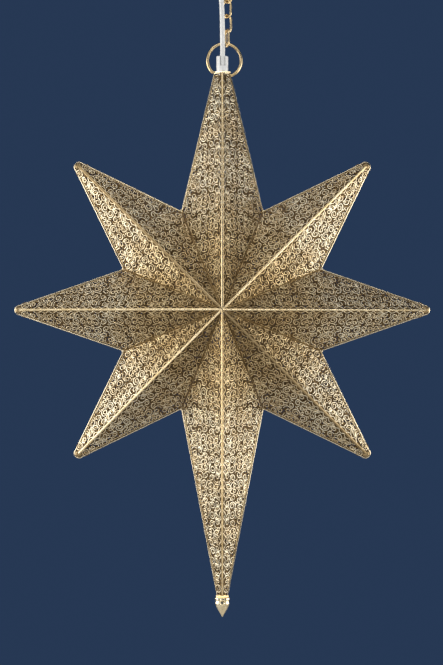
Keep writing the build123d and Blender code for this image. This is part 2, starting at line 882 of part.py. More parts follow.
with BuildPart() as finial_stud:
    with BuildSketch(level(finial_z - finial_stud_down)):
        Circle(finial_stud_radius)
    extrude(amount=finial_stud_down + collar_disc_height + plug_lip + finial_stud_up)
keep(finial_stud, "finial_stud")

print("star centre", round(star_x, 3), round(star_z, 3), "ring top", round(ring_top, 3))
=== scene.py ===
import json
from math import cos, hypot, pi, radians, sin, sqrt, tan, tau

import bmesh
import bpy
from mathutils import Matrix, Vector


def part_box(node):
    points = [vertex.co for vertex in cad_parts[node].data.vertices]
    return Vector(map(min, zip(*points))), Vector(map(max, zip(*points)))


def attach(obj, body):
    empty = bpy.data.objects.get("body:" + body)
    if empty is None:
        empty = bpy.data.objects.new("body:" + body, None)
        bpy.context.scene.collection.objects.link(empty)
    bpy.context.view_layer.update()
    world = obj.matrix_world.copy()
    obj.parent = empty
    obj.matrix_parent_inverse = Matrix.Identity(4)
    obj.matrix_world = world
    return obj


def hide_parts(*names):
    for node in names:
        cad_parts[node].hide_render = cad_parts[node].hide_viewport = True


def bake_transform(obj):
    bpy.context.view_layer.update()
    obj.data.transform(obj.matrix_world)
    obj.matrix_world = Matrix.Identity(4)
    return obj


# A pierced star lamp on a chain and ring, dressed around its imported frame. Metres in the scene, and
# millimetres in the facets' own drawings.

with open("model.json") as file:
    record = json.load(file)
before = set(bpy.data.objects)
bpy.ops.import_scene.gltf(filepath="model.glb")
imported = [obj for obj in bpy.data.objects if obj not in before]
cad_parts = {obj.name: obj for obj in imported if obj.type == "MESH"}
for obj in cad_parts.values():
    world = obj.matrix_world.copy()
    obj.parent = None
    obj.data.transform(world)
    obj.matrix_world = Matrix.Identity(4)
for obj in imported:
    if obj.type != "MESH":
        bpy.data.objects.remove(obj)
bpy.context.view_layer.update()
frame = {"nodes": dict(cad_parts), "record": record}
cad = frame["nodes"]
MM = 0.001

# ---- where the star stands
tip_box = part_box("point_tips")
star = (tip_box[0] + tip_box[1]) / 2
half_depth = 75.0
notch_radius = 144.0
sector = 22.5
reach_all = 292.0
reach_top = 366.0
reach_bottom = 424.5
cut_all = 271.0
cut_top = 315.3
cut_bottom = 381.0
FRONT = -1
REAR = 1
points = {
    "right": (0, reach_all, cut_all),
    "upper_right": (45, reach_all, cut_all),
    "top": (90, reach_top, cut_top),
    "upper_left": (135, reach_all, cut_all),
    "left": (180, reach_all, cut_all),
    "lower_left": (225, reach_all, cut_all),
    "bottom": (270, reach_bottom, cut_bottom),
    "lower_right": (315, reach_all, cut_all),
}
door = "left"

# ---- camera
distance = 3.0
view_height = 0.8878
lens = bpy.data.cameras.new("camera")
lens.sensor_width = 36
lens.lens = lens.sensor_width * distance / view_height
camera = bpy.data.objects.new("camera", lens)
camera.location = (-0.00737, -distance, -0.5304)
camera.rotation_euler = (pi / 2, 0, 0)
bpy.context.scene.collection.objects.link(camera)
bpy.context.scene.camera = camera


def link(obj):
    bpy.context.scene.collection.objects.link(obj)
    return obj


# ---- materials
# noise mostly stays between these values
noise_low = 0.3
noise_high = 0.7
patch_scale = 55
metal_grain_depth = 0.0002
moulded_patch_scale = 60
moulded_grain = 1500
smooth_grain_depth = 0.0001


def nodes_of(name):
    made = bpy.data.materials.new(name)
    made.use_nodes = True
    tree = made.node_tree
    return made, tree, tree.nodes["Principled BSDF"]


def noise_of(tree, scale, detail=3.0):
    """Noise on object coordinates."""
    place = tree.nodes.new("ShaderNodeTexCoord")
    noise = tree.nodes.new("ShaderNodeTexNoise")
    noise.inputs["Scale"].default_value = scale
    noise.inputs["Detail"].default_value = detail
    tree.links.new(place.outputs["Object"], noise.inputs["Vector"])
    return noise.outputs["Fac"]


def ramp_of(tree, source, stops):
    """Colours along a value, from pairs of a place and a colour."""
    ramp = tree.nodes.new("ShaderNodeValToRGB")
    spots = ramp.color_ramp.elements
    while len(spots) < len(stops):
        spots.new(0.5)
    for spot, (where, colour) in zip(spots, stops):
        spot.position = where
        spot.color = (*colour, 1)
    tree.links.new(source, ramp.inputs["Fac"])
    return ramp.outputs["Color"]


def range_of(tree, source, low, high):
    """A noise spread from low to high."""
    spread = tree.nodes.new("ShaderNodeMapRange")
    spread.inputs["From Min"].default_value = noise_low
    spread.inputs["From Max"].default_value = noise_high
    spread.inputs["To Min"].default_value = low
    spread.inputs["To Max"].default_value = high
    tree.links.new(source, spread.inputs["Value"])
    return spread.outputs["Result"]


def bump_of(tree, source, strength, depth):
    bump = tree.nodes.new("ShaderNodeBump")
    bump.inputs["Strength"].default_value = strength
    bump.inputs["Distance"].default_value = depth
    tree.links.new(source, bump.inputs["Height"])
    return bump.outputs["Normal"]


def metal(name, dark, light, rough, grain=900, bump=0.15):
    """A metal with patches of two tones, uneven gloss and a fine grain."""
    made, tree, shader = nodes_of(name)
    shader.inputs["Metallic"].default_value = 1.0
    colour = ramp_of(tree, noise_of(tree, patch_scale), [(noise_low, dark), (noise_high, light)])
    tree.links.new(colour, shader.inputs["Base Color"])
    fine = noise_of(tree, grain)
    tree.links.new(range_of(tree, fine, rough[0], rough[1]), shader.inputs["Roughness"])
    tree.links.new(bump_of(tree, fine, bump, metal_grain_depth), shader.inputs["Normal"])
    return made


def pierced_metal():
    """Antique gold, worn bright on the crests and brown in the hollows, with painted shade toward the
    star's middle carried in the crest attribute.
    """
    made, tree, shader = nodes_of("antique_gold_filigree")
    shader.inputs["Metallic"].default_value = 1.0
    # the crest attribute also holds painted shade toward the star's middle
    crest = tree.nodes.new("ShaderNodeAttribute")
    crest.attribute_name = "crest"
    worn = ramp_of(tree, crest.outputs["Fac"], [
        (0.0, (0.12, 0.074, 0.03)),
        (0.55, (0.37, 0.255, 0.11)),
        (0.82, (0.82, 0.66, 0.39)),
        (1.0, (0.93, 0.86, 0.68)),
    ])
    patch = ramp_of(tree, noise_of(tree, 38, 4), [
        (0.32, (0.74, 0.66, 0.56)),
        (0.68, (1.0, 1.0, 1.0)),
    ])
    mix = tree.nodes.new("ShaderNodeMix")
    mix.data_type = "RGBA"
    mix.blend_type = "MULTIPLY"
    mix.inputs["Factor"].default_value = 1.0
    tree.links.new(worn, mix.inputs["A"])
    tree.links.new(patch, mix.inputs["B"])
    tree.links.new(mix.outputs["Result"], shader.inputs["Base Color"])
    fine = noise_of(tree, 1200)
    tree.links.new(range_of(tree, fine, 0.2, 0.38), shader.inputs["Roughness"])
    grain = bump_of(tree, noise_of(tree, 700), 0.35, 0.0003)
    waves = bump_of(tree, noise_of(tree, 36, 1.5), 1.0, 0.0028)
    tree.links.new(grain, waves.node.inputs["Normal"])
    tree.links.new(waves, shader.inputs["Normal"])
    return made


def moulded(name, colour, rough):
    """A plastic or rubber of one colour, a little uneven in tone and gloss."""
    made, tree, shader = nodes_of(name)
    patch = ramp_of(tree, noise_of(tree, moulded_patch_scale), [
        (noise_low, tuple(c * 0.92 for c in colour)),
        (noise_high, colour),
    ])
    tree.links.new(patch, shader.inputs["Base Color"])
    fine = noise_of(tree, moulded_grain)
    tree.links.new(range_of(tree, fine, rough, rough + 0.12), shader.inputs["Roughness"])
    tree.links.new(bump_of(tree, fine, 0.08, smooth_grain_depth), shader.inputs["Normal"])
    return made


def clear_glass():
    """The bulb's thin clear glass."""
    made, tree, shader = nodes_of("clear_glass")
    shader.inputs["Base Color"].default_value = (0.93, 0.93, 0.9, 1)
    shader.inputs["Transmission Weight"].default_value = 0.95
    shader.inputs["IOR"].default_value = 1.46
    fine = noise_of(tree, 800)
    tree.links.new(range_of(tree, fine, 0.04, 0.1), shader.inputs["Roughness"])
    tree.links.new(bump_of(tree, fine, 0.05, smooth_grain_depth), shader.inputs["Normal"])
    return made


filigree_gold = pierced_metal()
backing_gold = metal("dark_backing", (0.12, 0.077, 0.032), (0.22, 0.146, 0.068), (0.45, 0.6))
band_gold = metal("antique_gold_band", (0.26, 0.185, 0.09), (0.42, 0.31, 0.17), (0.36, 0.48))
ridge_gold = metal("ridge_gold", (0.50, 0.36, 0.18), (0.74, 0.58, 0.34), (0.22, 0.34))
# a lighter copy of the ridge metal, for painted highlights on some ridges
painted_highlight_gold = metal("ridge_painted_highlight_gold", (0.66, 0.50, 0.27), (0.88, 0.74, 0.49), (0.16, 0.28))
solder_gold = metal("solder_gold", (0.60, 0.46, 0.25), (0.80, 0.66, 0.42), (0.48, 0.6))
wire_gold = metal("edge_wire_gold", (0.78, 0.64, 0.41), (0.93, 0.82, 0.60), (0.15, 0.26))
polished_brass = metal("polished_brass", (0.88, 0.73, 0.45), (0.96, 0.85, 0.60), (0.16, 0.3), 600, 0.05)
satin_brass = metal("satin_brass", (0.74, 0.55, 0.28), (0.87, 0.68, 0.40), (0.24, 0.36), 500, 0.1)
plated_steel = metal("plated_steel", (0.48, 0.48, 0.47), (0.66, 0.66, 0.64), (0.25, 0.4), 400, 0.1)
contact_metal = metal("contact_metal", (0.72, 0.5, 0.24), (0.84, 0.64, 0.34), (0.2, 0.32), 400, 0.08)
cord_white = moulded("cord_white", (0.90, 0.90, 0.88), 0.34)
plastic_white = moulded("plastic_white", (0.92, 0.92, 0.91), 0.3)
plastic_dark = moulded("plastic_dark", (0.035, 0.028, 0.022), 0.35)
bulb_clear = clear_glass()

# ---- cord: one line, made as three lengths
cord_points = [
    (-0.0059, -0.0032, -0.174879),
    (-0.0059, -0.0032, -0.159879),
    (-0.0059, -0.0098, -0.135396),
    (-0.0069, -0.0090, -0.085912),
    (-0.0130, -0.0130, -0.0450),
    (-0.0130, -0.0130, -0.0130),
]
cord_radius = 0.0032
cord_smoothness = 24
cord_round = 4
# the heights where one length ends and the next begins
upper_cut = -0.060
lower_cut = -0.132


def nurbs_line(route):
    """The smooth line that these control points draw, as a list of places."""
    curve = bpy.data.curves.new("cord_line", "CURVE")
    curve.dimensions = "3D"
    spline = curve.splines.new("NURBS")
    spline.points.add(len(route) - 1)
    for spot, place in zip(spline.points, route):
        spot.co = (*place, 1)
    spline.order_u = 3
    spline.use_endpoint_u = True
    curve.resolution_u = cord_smoothness
    holder = bpy.data.objects.new("cord_line", curve)
    mesh = bpy.data.meshes.new_from_object(holder)
    line = [vertex.co.copy() for vertex in mesh.vertices]
    bpy.data.objects.remove(holder)
    bpy.data.meshes.remove(mesh)
    return line


def sweep(name, strands, resolution=1):
    """A mesh of round strands: each is a list of places with a radius, and whether it is closed."""
    curve = bpy.data.curves.new(name, "CURVE")
    curve.dimensions = "3D"
    curve.bevel_depth = 1.0
    curve.bevel_resolution = resolution
    curve.use_fill_caps = True
    for strand, closed in strands:
        spline = curve.splines.new("POLY")
        spline.points.add(len(strand) - 1)
        for spot, (x, y, z, radius) in zip(spline.points, strand):
            spot.co = (x, y, z, 1)
            spot.radius = radius
        spline.use_cyclic_u = closed
    holder = bpy.data.objects.new(name, curve)
    mesh = bpy.data.meshes.new_from_object(holder)
    bpy.data.objects.remove(holder)
    bpy.data.curves.remove(curve)
    mesh.name = name
    mesh.shade_smooth()
    return mesh


def piece(name, mesh, body, slot, *materials):
    """An object of this mesh that rides a body, if it names one."""
    obj = link(bpy.data.objects.new(name, mesh))
    for material in materials:
        mesh.materials.append(material)
    if body:
        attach(obj, body)
    return obj


line = nurbs_line(cord_points)
line.sort(key=lambda place: -place.z)


def near(height):
    """Which place of the cord's line lies nearest to a height."""
    return min(range(len(line)), key=lambda i: abs(line[i].z - height))


cord_cuts = [0, near(upper_cut), near(lower_cut), len(line) - 1]
cord_bodies = [("ceiling", "link_1"), ("link_1", "ring"), ("ring", "star")]
cord_names = ["supply_cord_upper", "supply_cord_middle", "supply_cord_lower"]
for name, first, last, (upper, lower) in zip(cord_names, cord_cuts, cord_cuts[1:], cord_bodies):
    run = line[first:last + 1]
    length = sum((a - b).length for a, b in zip(run, run[1:]))
    tube = sweep(name, [([(*place, cord_radius) for place in run], False)], cord_round)
    cord = piece(name, tube, None, "white_cord", cord_white)
    tuple(run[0])
    tuple(run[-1])
    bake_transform(cord)
    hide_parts("supply_cord")
    tuple(run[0])
    [tuple(place) for place in run]


# ---- facets
def along(angle):
    """The direction from the star's middle at this angle."""
    return Vector((cos(radians(angle)), 0, sin(radians(angle))))


def facet_axes(angle, reach, side, face):
    """A facet's own axes: x along the ridge, y to the notch, z outwards, in millimetres."""
    apex = star + Vector((0, face * half_depth, 0)) * MM
    end = star + along(angle) * reach * MM
    notch = star + along(angle + side * sector) * notch_radius * MM
    x = (end - apex).normalized()
    z = x.cross(notch - apex).normalized()
    if z.y * face < 0:
        z = -z
    y = z.cross(x)
    if y.dot(notch - apex) < 0:
        y = -y
    axes = Matrix.Identity(4)
    for row in range(3):
        axes[row][0] = x[row] * MM
        axes[row][1] = y[row] * MM
        axes[row][2] = z[row] * MM
        axes[row][3] = apex[row]
    size = (end - apex).length / MM, (notch - apex).dot(x) / MM, (notch - apex).dot(y) / MM
    return axes, size


ridge_margin = 1.9
valley_margin = 1.25
edge_margin = 4.9
STEP = 1.25


class Facet:
    """The flat outline of a facet, with how far inside it a place lies."""

    def __init__(self, reach, cut):
        self.axes, (self.ridge, self.notch_u, self.notch_v) = facet_axes(0, reach, 1, FRONT)
        self.end = self.ridge * cut / reach
        self.valley = sqrt(self.notch_u**2 + self.notch_v**2)
        self.edge = sqrt((self.ridge - self.notch_u) ** 2 + self.notch_v**2)

    def to_valley(self, u, v):
        return (u * self.notch_v - v * self.notch_u) / self.valley

    def to_edge(self, u, v):
        return ((self.ridge - u) * self.notch_v - v * (self.ridge - self.notch_u)) / self.edge

    def depth(self, u, v, stop):
        return min(
            v - ridge_margin,
            self.to_valley(u, v) - valley_margin,
            self.to_edge(u, v) - edge_margin,
            stop - u,
        )

    def height(self, u):
        """How far across the facet reaches at a place along the ridge."""
        return self.notch_v * min(u / self.notch_u, (self.ridge - u) / (self.ridge - self.notch_u))


def curl(u, v, begin, turns, outer, inner, wide=0.9, thin=0.7, bud=1.15):
    """A spiral from its outer end inwards, round a middle; negative turns run clockwise."""
    length = abs(turns) * tau * (outer + inner) / 2
    count = max(4, round(length / STEP))
    strand = []
    for k in range(count + 1):
        t = k / count
        turn = radians(begin) + turns * tau * t
        reach = outer + (inner - outer) * t
        strand.append((u + reach * cos(turn), v + reach * sin(turn), wide + (thin - wide) * t))
    strand[-1] = (*strand[-1][:2], bud)
    return strand, False


def bow(places, wide=0.85, thin=None):
    """A smooth strand through a few places."""
    thin = wide if thin is None else thin
    ends = [places[0], *places, places[-1]]
    line = []
    for a, b, c, d in zip(ends, ends[1:], ends[2:], ends[3:]):
        count = max(2, round(hypot(c[0] - b[0], c[1] - b[1]) / STEP))
        for k in range(count):
            t = k / count
            line.append(tuple(
                0.5 * (2 * q + (r - p) * t + (2 * p - 5 * q + 4 * r - s) * t**2
                       + (3 * q - p - 3 * r + s) * t**3)
                for p, q, r, s in zip(a, b, c, d)
            ))
    line.append(places[-1])
    last = len(line) - 1
    return [(u, v, wide + (thin - wide) * k / last) for k, (u, v) in enumerate(line)], False


def ringlet(u, v, radius, width, squeeze=1.0, count=8):
    strand = [
        (u + radius * squeeze * cos(tau * k / count), v + radius * sin(tau * k / count), width)
        for k in range(count)
    ]
    return strand, True


def leaf(u, v, length, width, tilt):
    """A pointed oval with a short vein, tilted from the ridge's direction."""
    radius = 0.8
    count = 5
    across, up = cos(radians(tilt)), sin(radians(tilt))
    side = [(length * (k / count - 0.5), width / 2 * sin(pi * k / count)) for k in range(count + 1)]
    outline = side + [(x, -y) for x, y in reversed(side[1:-1])]
    vein = [(length * (t - 0.5), 0) for t in (0.25, 0.45, 0.65)]
    return [
        ([(u + x * across - y * up, v + x * up + y * across, radius) for x, y in outline], True),
        ([(u + x * across - y * up, v + x * up + y * across, radius * 0.7) for x, y in vein], False),
    ]


def mirrored(strands):
    return strands + [([(-u, v, r) for u, v, r in strand], closed) for strand, closed in strands]


# the scroll pattern's repeat, and where its first length and row begin
period = 62.0
row_height = 20.0
pattern_start = 26
pattern_margin = 3.6
# scallops beside the ridge, arches beside the outline, and loops where the point gets narrow
scallop = 10.5
scallop_start = 8.0
scallop_rise = 3.4
scallop_room = 5
arch = 4.6
arch_start = 4.0
arch_inset = 3.3
arch_rise = 1.2
loops_width = 15.5
smallest_loop = 2.4


def motif():
    """One length of the scroll pattern, the same to both sides of its middle."""
    half = period / 2
    strands = mirrored([
        curl(6.2, -2.6, 200, 1.7, 6.0, 1.3, 0.95, 0.75, 1.2),
        *leaf(4.9, 7.0, 9.4, 5.2, 62),
        bow([(0.4, 2.2), (2.2, 3.6), (3.0, 4.0)]),
        curl(12.8, 6.0, 120, 1.25, 3.9, 1.4, 0.9, 0.7, 1.1),
        bow([(11.2, 9.6), (8.8, 8.6), (7.6, 5.0), (9.4, 3.0)], 0.85, 0.8),
        curl(17.6, -4.6, 100, 1.3, 4.3, 1.3),
        bow([(16.9, -0.4), (19.6, 1.0), (20.4, 4.6), (18.6, 8.6)], 0.9, 0.8),
        bow([(12.0, -8.6), (10.4, -9.4), (7.0, -9.4)], 0.8),
        *leaf(half - 5.0, 5.2, 9.8, 5.4, -48),
        bow([(27.7, 1.3), (25.0, -0.6), (23.6, -3.6), (24.6, -6.4)], 0.9, 0.8),
        curl(half - 4.0, -6.0, 170, 1.1, 2.9, 1.2, 0.85, 0.7, 1.05),
        bow([(half, -1.2), (28.8, 0.4), (27.7, 1.3)], 0.8),
        bow([(22.0, 9.2), (22.4, 6.0), (22.6, 2.4), (22.0, -1.4)], 0.8, 0.7),
        bow([(13.6, 1.4), (14.6, -0.6), (13.2, -2.6)], 0.8, 0.7),
        bow([(21.2, -9.4), (21.8, -6.6), (22.2, -4.2)], 0.8, 0.7),
        bow([(half, -9.4), (29.6, -8.9)], 0.8),
    ])
    return strands + [
        ringlet(0, 5.4, 1.6, 0.75),
        ringlet(0, -8.6, 1.5, 0.75),
        ringlet(half, 3.0, 2.0, 0.8, 0.7),
        ringlet(half, 8.4, 1.7, 0.75),
        ringlet(half, -4.6, 1.9, 0.75, 0.8),
    ]


def swayed(u, v):
    """A place in the pattern, a little out of line so that no two lengths are quite the same."""
    return (
        u + 1.3 * sin(v / 4.7 + 0.6) + 0.9 * sin(u / 9.1),
        v + 1.0 * sin(u / 5.3) + 0.4 * sin(v / 3.9),
    )


def clipped(strand, closed, depth):
    """The runs of a strand that lie inside, cut off where it leaves."""
    ring = strand + strand[:1] if closed else strand
    depths = [depth(u, v) for u, v, _ in ring]
    if min(depths) > 0:
        return [(strand, closed)]
    runs = []
    run = []
    for k, (here, d) in enumerate(zip(ring, depths)):
        if k and (d > 0) != (depths[k - 1] > 0):
            t = depths[k - 1] / (depths[k - 1] - d)
            cut = tuple(a + (b - a) * t for a, b in zip(ring[k - 1], here))
            run.append(cut)
            if d <= 0:
                runs.append((run, False))
                run = []
        if d > 0:
            run.append(here)
    if len(run) > 1:
        runs.append((run, False))
    return [(run, False) for run, _ in runs if len(run) > 2]


def filigree(facet):
    """All strands of a facet: scroll rows, a scalloped line along each side, and loops toward the end."""
    loops_from = facet.ridge - loops_width / facet.notch_v * (facet.ridge - facet.notch_u)
    stop = min(loops_from, facet.end)
    strands = []
    rows = int(facet.notch_v / row_height) + 2
    columns = int(facet.ridge / period) + 2
    pattern = motif()
    for row in range(rows):
        for column in range(-1, columns):
            du = period * column + (row % 2) * period / 2 + pattern_start
            dv = ridge_margin + pattern_margin + row_height * (row + 0.5)
            flip = 1 if row % 2 else -1
            for strand, closed in pattern:
                placed = [(*swayed(u + du, flip * v + dv), r) for u, v, r in strand]
                strands += clipped(placed, closed, lambda u, v: facet.depth(u, v, stop))
    place = scallop_start
    while place + scallop < stop:
        if facet.height(place + scallop / 2) > scallop_room:
            arc = [
                (place + scallop * k / 6, ridge_margin + 0.2 + scallop_rise * sin(pi * k / 6), 0.8)
                for k in range(7)
            ]
            strands += clipped(arc, False, lambda u, v: facet.depth(u, v, stop))
        place += scallop
    begin = Vector((facet.notch_u, facet.notch_v))
    way = (Vector((facet.ridge, 0)) - begin).normalized()
    inward = Vector((way.y, -way.x))
    last = facet.edge * (facet.end - facet.notch_u) / (facet.ridge - facet.notch_u)
    run = arch_start
    while run + arch < last:
        spots = [
            begin + way * (run + arch * k / 4) + inward * (arch_inset + arch_rise * sin(pi * k / 4))
            for k in range(5)
        ]
        if min(spot.y for spot in spots) > ridge_margin:
            strands.append(([(spot.x, spot.y, 0.55) for spot in spots], False))
        run += arch
    u = stop + 1.5
    while u < facet.end - 1:
        wide = facet.height(u) - ridge_margin - 1.6
        if wide < smallest_loop:
            break
        radius = (wide - 1.4) / 2
        middle = ridge_margin + 0.6 + radius
        u += radius
        if u + radius > facet.end:
            break
        strands.append(ringlet(u, middle, radius, 0.8, 1.0, 10 if radius > 2 else 8))
        if radius > 3:
            strands.append(curl(u, middle, 180, 0.8, radius * 0.6, radius * 0.25, 0.7, 0.65, 0.9))
        u += radius + 0.6
    return strands


# the strands are flattened to this share of their height, and lie this far under the facet's plane
lift = 0.55
strand_depth = 0.4
# a strand's height from its middle to its crest is spread over the worn colours
crest_spread = 1.5
# painted shade: the strands are darker and browner toward the middle of the star, where the points shade
# each other
centre_shade = 0.62
centre_shade_reach = 165.0


def lace(facet, name):
    """The facet's strands as a flattened mesh, with how near each place is to a strand's crest, lowered
    toward the star's middle as painted shade.
    """
    strands = [
        ([(u, v, 0.0, r) for u, v, r in strand], closed)
        for strand, closed in filigree(facet)
    ]
    mesh = sweep(name, strands, 1)
    heights = mesh.attributes.new("crest", "FLOAT", "POINT")
    # each crest value is scaled down near the apex: painted shade toward the middle of the star
    values = [
        min(1.0, max(0.0, 0.5 + vertex.co.z / crest_spread))
        * (centre_shade + (1 - centre_shade) * min(1.0, vertex.co.x / centre_shade_reach))
        for vertex in mesh.vertices
    ]
    heights.data.foreach_set("value", values)
    mesh.transform(Matrix.Translation((0, 0, -strand_depth)) @ Matrix.Diagonal((1, 1, lift, 1)))
    return mesh


def plate(bm, outline, low, high, soften=0.2):
    """A flat plate of this outline between two heights, with softened edges."""
    base = bm.faces.new([bm.verts.new((u, v, low)) for u, v in outline])
    grown = bmesh.ops.extrude_face_region(bm, geom=[base])["geom"]
    raised = [part for part in grown if isinstance(part, bmesh.types.BMVert)]
    bmesh.ops.translate(bm, vec=(0, 0, high - low), verts=raised)
    faces = list({face for vert in raised for face in vert.link_faces} | {base})
    bmesh.ops.recalc_face_normals(bm, faces=faces)
    edges = list({edge for face in faces for edge in face.edges})
    bmesh.ops.bevel(bm, geom=edges, offset=soften, offset_type="OFFSET", segments=1, profile=0.5,
                    affect="EDGES", material=-1)


# across a valley: the seam's plate runs under the fold, then the plain band begins
band = 0.6
valley_gap = 0.3
seam = 0.35
seam_reach = -0.45
seam_heights = (-1.3, -0.9)
band_heights = (-1.0, -0.05)
valley_start = 7.0
# under the outline's wire
edge_heights = (-1.1, -0.6)
edge_inner = 2.4
edge_outer = 0.6
# the backing's three-sided cells
cell = 6.4
cell_wall = 0.85
cell_lean = radians(30)
backing_top = -0.8
backing_thickness = 0.3
backing_inset = 1.2
border_crest = 0.6
# the facets' further materials, after the filigree's
BACKING = 1
BAND = 2


def backing(facet):
    """The dark sheet behind the strands, pierced all over with small three-sided openings."""
    bm = bmesh.new()
    columns = int(facet.ridge / cell) + 12
    rows = int(facet.notch_v / (cell * cos(cell_lean))) + 3
    bmesh.ops.create_grid(bm, x_segments=columns, y_segments=rows, size=0.5)
    bmesh.ops.scale(bm, vec=(columns * cell, rows * cell * cos(cell_lean), 1), verts=bm.verts)
    for vert in bm.verts:
        vert.co.x += vert.co.y * tan(cell_lean)
    bmesh.ops.translate(bm, vec=(facet.ridge / 2, facet.notch_v / 2, backing_top), verts=bm.verts)
    bmesh.ops.triangulate(bm, faces=bm.faces, quad_method="SHORT_EDGE")
    openings = list(bm.faces)
    bmesh.ops.inset_individual(bm, faces=openings, thickness=cell_wall, use_even_offset=True)
    bmesh.ops.delete(bm, geom=openings, context="FACES")
    nu, nv = facet.notch_u, facet.notch_v
    for place, out in (
        ((0, ridge_margin - 0.6), (0, -1)),
        ((0, 0), (-nv, nu)),
        ((facet.ridge, 0), (nv, facet.ridge - nu)),
        ((facet.end, 0), (1, 0)),
    ):
        out = Vector((*out, 0)).normalized()
        inset = backing_inset if place[1] == 0 and place[0] != facet.end else 0.0
        geometry = list(bm.verts) + list(bm.edges) + list(bm.faces)
        bmesh.ops.bisect_plane(bm, geom=geometry, plane_co=Vector((*place, 0)) - out * inset, plane_no=out,
                               clear_outer=True)
    bmesh.ops.solidify(bm, geom=bm.faces, thickness=backing_thickness)
    return bm


def borders(facet, name):
    """The backing sheet, with the plain bands beside the valley and under the outline's wire."""
    bm = backing(facet)
    for made in bm.faces:
        made.material_index = BACKING
    count = len(bm.faces)
    nu, nv = facet.notch_u, facet.notch_v
    slope = nv / nu
    inner = (nv / facet.valley, -nu / facet.valley)
    from_edge = (-nv / facet.edge, -(facet.ridge - nu) / facet.edge)
    share = (facet.end - nu) / (facet.ridge - nu)
    stop = (nu + (facet.ridge - nu) * share, nv * (1 - share))

    def moved(place, way, amount):
        return place[0] + way[0] * amount, place[1] + way[1] * amount

    start = (valley_start, valley_start * slope)
    notch = (nu, nv)
    beside = valley_gap + seam
    plate(bm, [
        moved(start, inner, seam_reach),
        moved(notch, inner, seam_reach),
        moved(notch, inner, beside),
        moved(start, inner, beside),
    ], *seam_heights, 0.1)
    bm.faces.ensure_lookup_table()
    for made in bm.faces[count:]:
        made.material_index = BACKING
    count = len(bm.faces)
    plate(bm, [
        moved(start, inner, beside),
        moved(notch, inner, beside),
        moved(notch, inner, beside + band),
        moved(start, inner, beside + band),
    ], *band_heights)
    plate(bm, [
        moved(notch, from_edge, edge_outer),
        moved(notch, from_edge, edge_inner),
        moved(stop, from_edge, edge_inner),
        moved(stop, from_edge, edge_outer),
    ], *edge_heights)
    bm.faces.ensure_lookup_table()
    for made in bm.faces[count:]:
        made.material_index = BAND
    mesh = bpy.data.meshes.new(name)
    bm.to_mesh(mesh)
    bm.free()
    heights = mesh.attributes.new("crest", "FLOAT", "POINT")
    heights.data.foreach_set("value", [border_crest] * len(mesh.vertices))
    return mesh


kinds = {}
for kind, reach, cut in (
    ("all", reach_all, cut_all),
    ("top", reach_top, cut_top),
    ("bottom", reach_bottom, cut_bottom),
):
    facet = Facet(reach, cut)
    kinds[(reach, cut)] = (lace(facet, "lace_" + kind), borders(facet, "border_" + kind))


def place_facets(name, angle, reach, cut, face):
    """Both facets of a point, joined in one mesh."""
    bm = bmesh.new()
    for side in (-1, 1):
        axes, _ = facet_axes(angle, reach, side, face)
        for source in kinds[(reach, cut)]:
            before_v = len(bm.verts)
            before_f = len(bm.faces)
            bm.from_mesh(source)
            bm.verts.ensure_lookup_table()
            bm.faces.ensure_lookup_table()
            bmesh.ops.transform(bm, matrix=axes, verts=bm.verts[before_v:])
            fresh = bm.faces[before_f:]
            if axes.to_3x3().determinant() < 0:
                bmesh.ops.reverse_faces(bm, faces=fresh)
    mesh = bpy.data.meshes.new(name)
    bm.to_mesh(mesh)
    bm.free()
    return mesh


for name, (angle, reach, cut) in points.items():
    for face, end, prefix in ((FRONT, "front", "front_point_"), (REAR, "rear", "rear_point_")):
        hinged = face == REAR and name == door
        node = "rear_door" if hinged else prefix + name
        mesh = place_facets("filigree_" + end + "_" + name, angle, reach, cut, face)
        made = piece(mesh.name, mesh, "door" if hinged else "star", "pierced_gold",
                     filigree_gold, backing_gold, band_gold)
        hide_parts(node)

# ---- ridges: a folded strip with a bead on its crest
strip = 1.9
strip_heights = (-0.8, 0.22)
strip_start_inner = 2.6
strip_start_outer = 6.0
crest_radius = 1.25
flank_from = 0.85
crest_depth = 1.29
crest_start = 1.0
crest_lengths = 12
dome_across = 3.4
dome_deep = 2.4
dome_sunk = 2.6
# the ridges' materials: plain ridge metal, a lighter copy as painted highlight, the darker band metal as
# painted shade, and the solder
PLAIN_TONE, PAINTED_HIGHLIGHT, PAINTED_SHADE, SOLDER = range(4)
# each ridge's painted light, by its angle: a plain tone, painted highlight or painted shade for its crest,
# and for its strips clockwise and anticlockwise of it as the front shows them
ridge_painted_light = {
    0: (PAINTED_HIGHLIGHT, PAINTED_HIGHLIGHT, PAINTED_HIGHLIGHT),
    45: (PAINTED_HIGHLIGHT, PLAIN_TONE, PAINTED_SHADE),
    90: (PAINTED_HIGHLIGHT, PLAIN_TONE, PAINTED_SHADE),
    135: (PAINTED_SHADE, PLAIN_TONE, PLAIN_TONE),
    180: (PAINTED_HIGHLIGHT, PAINTED_HIGHLIGHT, PAINTED_HIGHLIGHT),
    225: (PAINTED_HIGHLIGHT, PAINTED_HIGHLIGHT, PAINTED_HIGHLIGHT),
    270: (PLAIN_TONE, PLAIN_TONE, PAINTED_SHADE),
    315: (PAINTED_SHADE, PAINTED_SHADE, PLAIN_TONE),
}


